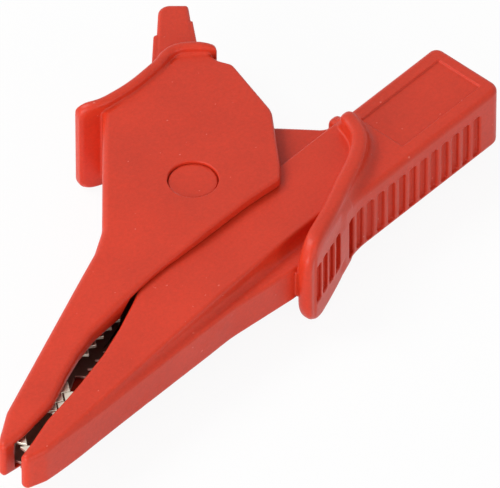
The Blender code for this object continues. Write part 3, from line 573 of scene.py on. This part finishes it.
def thumb_tab(x, y, depth):
    """The thumb tab: a long wedge, and a shorter, slightly narrower one in front of it."""
    back = rounded([(14.6, 20.8, 0), (14.9, 18.9, 0), (20.0, 17.0, 0), (22.3, 20.0, 0), (27.4, 26.0, 0.5),
                    (24.5, 29.2, 1.8)])
    front = rounded([(14.2, 21.1, 0), (14.9, 18.9, 0), (20.0, 17.0, 0), (22.6, 19.9, 0), (25.5, 23.4, 0),
                     (19.3, 25.4, 0.3)])
    return np.minimum(met(inside_outline(back, x, y), depth - TAB_HALF, 0.6),
                      met(inside_outline(front, x, y), depth - TAB_HALF + 0.1, 0.3))


def lever_pocket(x, y, depth):
    """The pocket between the lever's plates, which slides over the handle's body with a gap on both sides."""
    roof = [(px, float(follow(LEVER_UPPER, px)) - LEVER_WALL)
            for px in (JAW_TIP_X, *[station[0] for station in LEVER_UPPER[1:4]])]
    plan = roof + [(LEVER_UPPER[4][0] + 1.2, 2.2), (2.7, 17.8), (8.5, 17.4), (17.0, 17.7), (19.3, 14.8),
                   (FAR, 13.0), (FAR, -FAR), (JAW_TIP_X, -FAR)]
    cheek_end = BODY_INNER[-1][0]
    half = np.interp(
        x, [JAW_TIP_X, nose(0.449), cheek_end, nose(0.256)],
        [CHANNEL_TIP_HALF, 3.05, np.interp(cheek_end, *BODY_TAPER) + SLIDE_GAP, BODY_HALF + SLIDE_GAP])
    return np.maximum(inside_outline(plan, x, y), depth - half)


def lever_field(x, y, z):
    """The lever's moulding: plates and nose, a guard and a thumb tab, joined with fillets, less the pocket
    between the plates and the hole that turns on the bosses."""
    depth = np.abs(z)
    body = joined(lever_plates(x, y, depth), lever_guard(x, y, z), 0.6)
    body = joined(body, thumb_tab(x, y, depth), 0.5)
    body = less(body, lever_pocket(x, y, depth), HOLLOW_EDGE)
    return less(body, np.hypot(x, y) - BOSS_RADIUS - HINGE_GAP, GROOVE_EDGE)


class Socket:
    """A shader socket. An expression on it adds Math nodes, and node() adds a node of any other kind."""

    def __init__(self, tree, socket=None):
        self.tree = tree
        self.socket = socket

    def node(self, kind, settings=None, output=0, **values):
        """A node: its settings first, then values or links for its sockets, named with _ for a space."""
        made = self.tree.nodes.new(kind)
        for name, value in (settings or {}).items():
            setattr(made, name, value)
        for name, value in values.items():
            at = int(name[1:]) if name[0] == "_" else name.replace("_", " ")
            if isinstance(value, Socket):
                self.tree.links.new(value.socket, made.inputs[at])
            else:
                made.inputs[at].default_value = value
        return Socket(self.tree, made.outputs[output])

    def maths(self, operation, first, second):
        """A Math node on two sockets or numbers."""
        return self.node("ShaderNodeMath", {"operation": operation}, _0=first, _1=second)

    def __add__(self, other):
        return self.maths("ADD", self, other)

    def __sub__(self, other):
        return self.maths("SUBTRACT", self, other)

    def __rsub__(self, other):
        return self.maths("SUBTRACT", other, self)

    def __mul__(self, other):
        return self.maths("MULTIPLY", self, other)

    __radd__ = __add__
    __rmul__ = __mul__

    def most(self, other):
        """The greater of two values."""
        return self.maths("MAXIMUM", self, other)

    def over(self, edge, width):
        """A soft step: 0 below the edge, 1 above it, over a width."""
        return self.node("ShaderNodeMapRange", {"interpolation_type": "SMOOTHSTEP"}, Value=self,
                         From_Min=edge - width / 2, From_Max=edge + width / 2)

    def noise(self, scale, detail=3.0, rough=0.5):
        """Noise at these coordinates, from 0 to 1, with this many waves to the metre."""
        return self.node("ShaderNodeTexNoise", Vector=self, Scale=scale, Detail=detail, Roughness=rough)

    def mixed(self, low, high):
        """A colour between two, by this factor."""
        return self.node("ShaderNodeMix", {"data_type": "RGBA"}, output=2, _0=self, _6=low, _7=high)


def shares(red, green, blue):
    """A colour given as 0 to 255 in each channel, as shares of 1."""
    return red / 255, green / 255, blue / 255


def linear(colour, factor=1.0):
    """An sRGB colour as a linear one, scaled by a factor."""
    share = np.array(colour, float)
    value = np.where(share <= 0.04045, share / 12.92, ((share + 0.055) / 1.055) ** 2.4) * factor
    return (*np.clip(value, 0, 1), 1.0)


def principled(name):
    """A new material, its shader node, and its Object coordinates as a socket."""
    made = bpy.data.materials.new(name)
    made.use_nodes = True
    shader = made.node_tree.nodes["Principled BSDF"]
    return made, shader, Socket(made.node_tree).node("ShaderNodeTexCoord", output="Object")


def link(shader, name, value):
    """Feeds a socket of the shader."""
    value.tree.links.new(value.socket, shader.inputs[name])


SPECK_COLOUR = shares(232, 140, 126)
# Painted shade and painted reflection on the plating between the noses: its dark red, how much of it, and how
# far the metal is dulled there
JAW_SHADE_COLOUR = shares(150, 34, 30)
JAW_SHADE = 0.68
JAW_SHADE_DULLING = 0.35


def moulded_plastic(name, colour):
    """Satin moulded plastic: mottled colour, fine eroded grain, pale specks and a little light inside it."""
    made, shader, place = principled(name)
    cloud = place.noise(90.0, detail=4.0, rough=0.6)
    mottle = place.noise(1900.0, detail=3.0, rough=0.75)
    grain = place.noise(5200.0, detail=2.0, rough=0.6)
    speck = place.noise(1300.0, detail=2.0, rough=0.4).over(0.77, 0.03)
    scuff = place.noise(260.0, detail=5.0, rough=0.7).over(0.62, 0.2)
    shade = cloud * 0.45 + mottle * 0.55
    body = shade.over(0.5, 0.6).mixed(linear(colour, 0.86), linear(colour, 1.13))
    link(shader, "Base Color", (speck * 0.5).mixed(body, linear(SPECK_COLOUR)))
    link(shader, "Roughness", scuff * 0.09 + grain * 0.06 + 0.36)
    height = grain * 0.5 + mottle * 0.5 + cloud * 0.5 + speck * 0.3
    link(shader, "Normal", place.node("ShaderNodeBump", Height=height, Strength=0.3, Distance=0.00012))
    shader.inputs["Subsurface Weight"].default_value = 0.18
    shader.inputs["Subsurface Radius"].default_value = (1.0, 0.22, 0.12)
    shader.inputs["Subsurface Scale"].default_value = 0.0012
    shader.inputs["Specular IOR Level"].default_value = 0.3
    return made


def plated_metal(name, colour, roughness):
    """Bright plated sheet: fine drawn lines along it, faint cloudiness and a soft sheen. Between the noses,
    on the side that the clip lies on, it is painted a dark red and made less metallic: painted shade and
    painted reflection of the red mouldings round it."""
    made, shader, place = principled(name)
    along = place.node("ShaderNodeSeparateXYZ", output="X", Vector=place)
    up = place.node("ShaderNodeSeparateXYZ", output="Z", Vector=place)
    # Painted shade and painted reflection: the plating low down between the noses is painted dark red and
    # dulled
    lower_side = 1.0 - up.over(PIVOT[2] - 0.5 * MM, 0.6 * MM)
    nose_side = 1.0 - along.over(PIVOT[0] - 6.0 * MM, 2.0 * MM)
    painted_shade_zone = lower_side * nose_side
    stretched = place.node("ShaderNodeVectorMath", {"operation": "MULTIPLY"}, _0=place, _1=(0.08, 1.0, 1.0))
    drawn = stretched.noise(9000.0, detail=3.0, rough=0.6)
    cloud = place.noise(400.0, detail=4.0, rough=0.6)
    sheet = cloud.mixed(linear(colour, 0.82), linear(colour, 1.12))
    link(shader, "Base Color", (painted_shade_zone * JAW_SHADE).mixed(sheet, linear(JAW_SHADE_COLOUR)))
    link(shader, "Metallic", 1.0 - painted_shade_zone * JAW_SHADE_DULLING)
    link(shader, "Roughness", drawn * 0.16 + cloud * 0.08 + (roughness - 0.1))
    height = drawn + cloud * 0.6
    link(shader, "Normal", place.node("ShaderNodeBump", Height=height, Strength=0.2, Distance=0.00004))
    return made


def dress(piece, material, body, slot_name, *nodes):
    """Gives a new piece its finish and its body, and hides the solids that it stands for. The slot's name is
    not used.
    """
    piece.data.materials.clear()
    piece.data.materials.append(material)
    if body:
        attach(piece, body)
    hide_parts(*nodes)


def refinish(node, material):
    """Gives a solid that stays another finish."""
    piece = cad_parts[node]
    piece.data.materials.clear()
    piece.data.materials.append(material)


def colour_choice(name, description, *channels):
    """A colour that the user can change, from its sRGB channels of 0 to 255."""
    return FloatVectorProperty(
        name=name, description=description, subtype="COLOR_GAMMA", size=3, min=0.0, max=1.0,
        default=shares(*channels))


class ClipColours(bpy.types.PropertyGroup):
    plastic: colour_choice("Plastic", "Colour of the mouldings", 206, 57, 33)
    insert: colour_choice("Insert", "Colour of the sleeve in the socket", 150, 34, 26)
    plate: colour_choice("Plating", "Colour of the plated jaws", 216, 206, 190)
    steel: colour_choice("Steel", "Colour of the spring and pin", 172, 172, 176)


class ClipMoulding(bpy.types.PropertyGroup):
    step: FloatProperty(
        name="Grid", description="Width of the grid cells that the mouldings are worked out on",
        unit="LENGTH", default=0.00028, min=0.0001)


class ClipSpring(bpy.types.PropertyGroup):
    wire: FloatProperty(
        name="Wire", description="Thickness of the spring's wire", unit="LENGTH", default=0.0009)


class ClipStage(bpy.types.PropertyGroup):
    azimuth: FloatProperty(
        name="Azimuth", description="Direction that the camera looks from, round the upright axis",
        subtype="ANGLE", default=math.radians(-47.7))
    elevation: FloatProperty(
        name="Elevation", description="Height of the camera as an angle", subtype="ANGLE",
        default=math.radians(44.8))
    lens: FloatProperty(
        name="Lens", description="Focal length in millimetres", unit="CAMERA", default=1200.0)
    width: FloatProperty(
        name="Width", description="Width that the picture takes in at the clip", unit="LENGTH",
        default=0.07143)
    daylight: FloatProperty(
        name="Daylight", description="Strength of the even light", subtype="FACTOR", min=0.0, max=1.0,
        default=0.4)
    lamp: FloatProperty(
        name="Lamp", description="Power in watts that each lamp has its share of", unit="POWER", default=0.84)


class CLIP_OT_handle(bpy.types.Operator):
    """Make the handle's moulding, with its guard, grooves and lower nose"""

    bl_idname = "clip.handle"
    bl_label = "Handle moulding"

    def execute(self, context):
        fine = context.scene.clip_moulding.step / MM
        coarse = 1.8 * fine
        axes = [
            spaced(HANDLE_LOW[0], HANDLE_HIGH[0],
                   [(-50.0, fine), (-44.0, coarse), (-6.0, coarse), (-2.0, fine), (30.0, fine)]),
            spaced(HANDLE_LOW[1], HANDLE_HIGH[1], [(-4.0, fine), (0.0, coarse)]),
            spaced(HANDLE_LOW[2], HANDLE_HIGH[2], [(0.0, fine)])]
        piece = moulded("handle_moulding", handle_field, axes)
        material = moulded_plastic("red_moulding", context.scene.clip_colours.plastic)
        dress(piece, material, "handle", "red_plastic", "handle_body")
        return {"FINISHED"}


class CLIP_OT_lever(bpy.types.Operator):
    """Make the lever's moulding, with its guard, thumb tab and upper nose, in the handle's plastic"""

    bl_idname = "clip.lever"
    bl_label = "Lever moulding"

    def execute(self, context):
        fine = context.scene.clip_moulding.step / MM
        coarse = 1.5 * fine
        axes = [
            spaced(LEVER_LOW[0], LEVER_HIGH[0],
                   [(-20.0, fine), (-12.0, coarse), (-6.0, coarse), (-2.0, fine)]),
            spaced(LEVER_LOW[1], LEVER_HIGH[1], [(-4.0, fine), (4.0, coarse), (15.0, fine)]),
            spaced(LEVER_LOW[2], LEVER_HIGH[2], [(0.0, fine)])]
        piece = moulded("lever_moulding", lever_field, axes)
        dress(piece, bpy.data.materials["red_moulding"], "lever", "red_plastic", "lever_body")
        return {"FINISHED"}


class CLIP_OT_metal(bpy.types.Operator):
    """Finish the jaws, the pin, the contact and the sleeve on it"""

    bl_idname = "clip.metal"
    bl_label = "Metal pieces"

    def execute(self, context):
        colours = context.scene.clip_colours
        plate = plated_metal("jaw_plating", colours.plate, 0.3)
        steel = plated_metal("bright_steel", colours.steel, 0.34)
        for node in ("lower_jaw", "upper_jaw", "socket_tube", "contact_strap", "strap_rivet_front",
                     "strap_rivet_rear"):
            body = "lever" if node == "upper_jaw" else "handle"
            dress(softened(node, 0.1), plate, body, "nickel_plate", node)
        dress(softened("pivot_pin", 0.2), steel, "handle", "steel", "pivot_pin")
        refinish("socket_insulator", moulded_plastic("sleeve_moulding", colours.insert))
        return {"FINISHED"}


class CLIP_OT_spring(bpy.types.Operator):
    """Make the spring: a coil with a leg to the handle's floor and one to the lever's roof"""

    bl_idname = "clip.spring"
    bl_label = "Spring"

    def execute(self, context):
        wire = context.scene.clip_spring.wire / 2 / MM
        piece = wire_along("wound_spring", spring_path(wire), wire)
        dress(piece, bpy.data.materials["bright_steel"], None, "steel", "torsion_spring")
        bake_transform(piece)
        return {"FINISHED"}


# Each lamp's name, place and width in metres, and share of the power
LAMPS = [
    ("lamp_above", (-0.22, 0.34, 0.58), 0.34, 3.1),
    ("lamp_nose", (-0.72, -0.10, 0.20), 0.30, 3.4),
    ("lamp_side", (-0.02, -0.72, 0.26), 0.36, 1.35),
]
PAPER_WHITE = 0.9
PAPER_GLOW = 0.92
# The middle of the view, on a plane at the pin's height, in millimetres from the pin
VIEW_MIDDLE = (1.053, -10.05, 0.0)


def lamp(name, place, width, power):
    """A square lamp at a place, turned to the clip."""
    light = bpy.data.lights.new(name, "AREA")
    light.size = width
    light.energy = power
    made = bpy.data.objects.new(name, light)
    made.location = place
    made.rotation_euler = (-Vector(place)).to_track_quat("-Z", "Y").to_euler()
    bpy.context.scene.collection.objects.link(made)


def seen_white(tree):
    """A factor that is 1 for rays that see the background: from the camera, and off or through a piece."""
    camera, glossy, through = [
        Socket(tree).node("ShaderNodeLightPath", output=f"Is {kind} Ray")
        for kind in ("Camera", "Glossy", "Transmission")]
    return camera.most(glossy).most(through)


def pale_paper():
    """The floor's finish: dull and pale, and white to the rays that see the background."""
    paper, shader, place = principled("pale_paper")
    shader.inputs["Base Color"].default_value = (PAPER_WHITE, PAPER_WHITE, PAPER_WHITE, 1.0)
    shader.inputs["Roughness"].default_value = 0.9
    shader.inputs["Specular IOR Level"].default_value = 0.0
    glow = place.node("ShaderNodeEmission", Color=(1.0, 1.0, 1.0, 1.0), Strength=1.0)
    surface = place.node("ShaderNodeMixShader", _0=seen_white(paper.node_tree) * PAPER_GLOW,
                         _1=Socket(paper.node_tree, shader.outputs[0]), _2=glow)
    link(paper.node_tree.nodes["Material Output"], "Surface", surface)
    return paper


def even_light(daylight):
    """A white world that lights with the daylight's strength, and is seen as white."""
    world = bpy.data.worlds.new("even_light")
    world.use_nodes = True
    sky = world.node_tree.nodes["Background"]
    sky.inputs["Color"].default_value = (1.0, 1.0, 1.0, 1.0)
    link(sky, "Strength", seen_white(world.node_tree) * (1.0 - daylight) + daylight)
    return world


def camera_at(values):
    """A camera that looks at the view's middle from its azimuth and elevation, from so far that its lens
    takes in the width: the distance is the width times the focal length over the sensor's width."""
    away = Vector((math.sin(values.azimuth) * math.cos(values.elevation),
                   -math.cos(values.azimuth) * math.cos(values.elevation), math.sin(values.elevation)))
    lens = bpy.data.cameras.new("camera")
    lens.lens = values.lens
    lens.clip_end = 20.0
    camera = bpy.data.objects.new("camera", lens)
    camera.location = (Vector(PIVOT) + Vector(VIEW_MIDDLE) * MM
                       + away * values.width * values.lens / lens.sensor_width)
    camera.rotation_euler = (-away).to_track_quat("-Z", "Y").to_euler()
    return camera


class CLIP_OT_stage(bpy.types.Operator):
    """Make the floor, the even light, the lamps and the camera"""

    bl_idname = "clip.stage"
    bl_label = "Stage"

    def execute(self, context):
        scene = context.scene
        values = scene.clip_stage
        scene.view_settings.view_transform = "Standard"
        corners = np.array([(-1, -1, 0), (1, -1, 0), (1, 1, 0), (-1, 1, 0)])
        floor = meshed("floor", (corners - PIVOT) / MM, [(0, 1, 2, 3)])
        floor.data.materials.append(pale_paper())
        scene.world = even_light(values.daylight)
        for name, place, width, share in LAMPS:
            lamp(name, place, width, values.lamp * share)
        scene.camera = camera_at(values)
        scene.collection.objects.link(scene.camera)
        return {"FINISHED"}


GROUPS = {"clip_colours": ClipColours, "clip_moulding": ClipMoulding, "clip_spring": ClipSpring,
          "clip_stage": ClipStage}
OPERATORS = [CLIP_OT_handle, CLIP_OT_lever, CLIP_OT_metal, CLIP_OT_spring, CLIP_OT_stage]


class CLIP_PT_panel(bpy.types.Panel):
    """The clip's sizes, colours and steps, in the sidebar"""

    bl_label = "Crocodile clip"
    bl_space_type = "VIEW_3D"
    bl_region_type = "UI"
    bl_category = "Clip"

    def draw(self, context):
        for key, kind in GROUPS.items():
            for name in kind.__annotations__:
                self.layout.prop(getattr(context.scene, key), name)
        for operator in OPERATORS:
            self.layout.operator(operator.bl_idname)


def register():
    for item in [*GROUPS.values(), *OPERATORS, CLIP_PT_panel]:
        bpy.utils.register_class(item)
    for name, group in GROUPS.items():
        setattr(bpy.types.Scene, name, PointerProperty(type=group))


def unregister():
    for name in GROUPS:
        delattr(bpy.types.Scene, name)
    for item in reversed([*GROUPS.values(), *OPERATORS, CLIP_PT_panel]):
        bpy.utils.unregister_class(item)


def main():
    """Makes every piece and the stage."""
    register()
    bpy.ops.clip.handle()
    bpy.ops.clip.lever()
    bpy.ops.clip.metal()
    bpy.ops.clip.spring()
    bpy.ops.clip.stage()


if __name__ == "__main__":
    main()
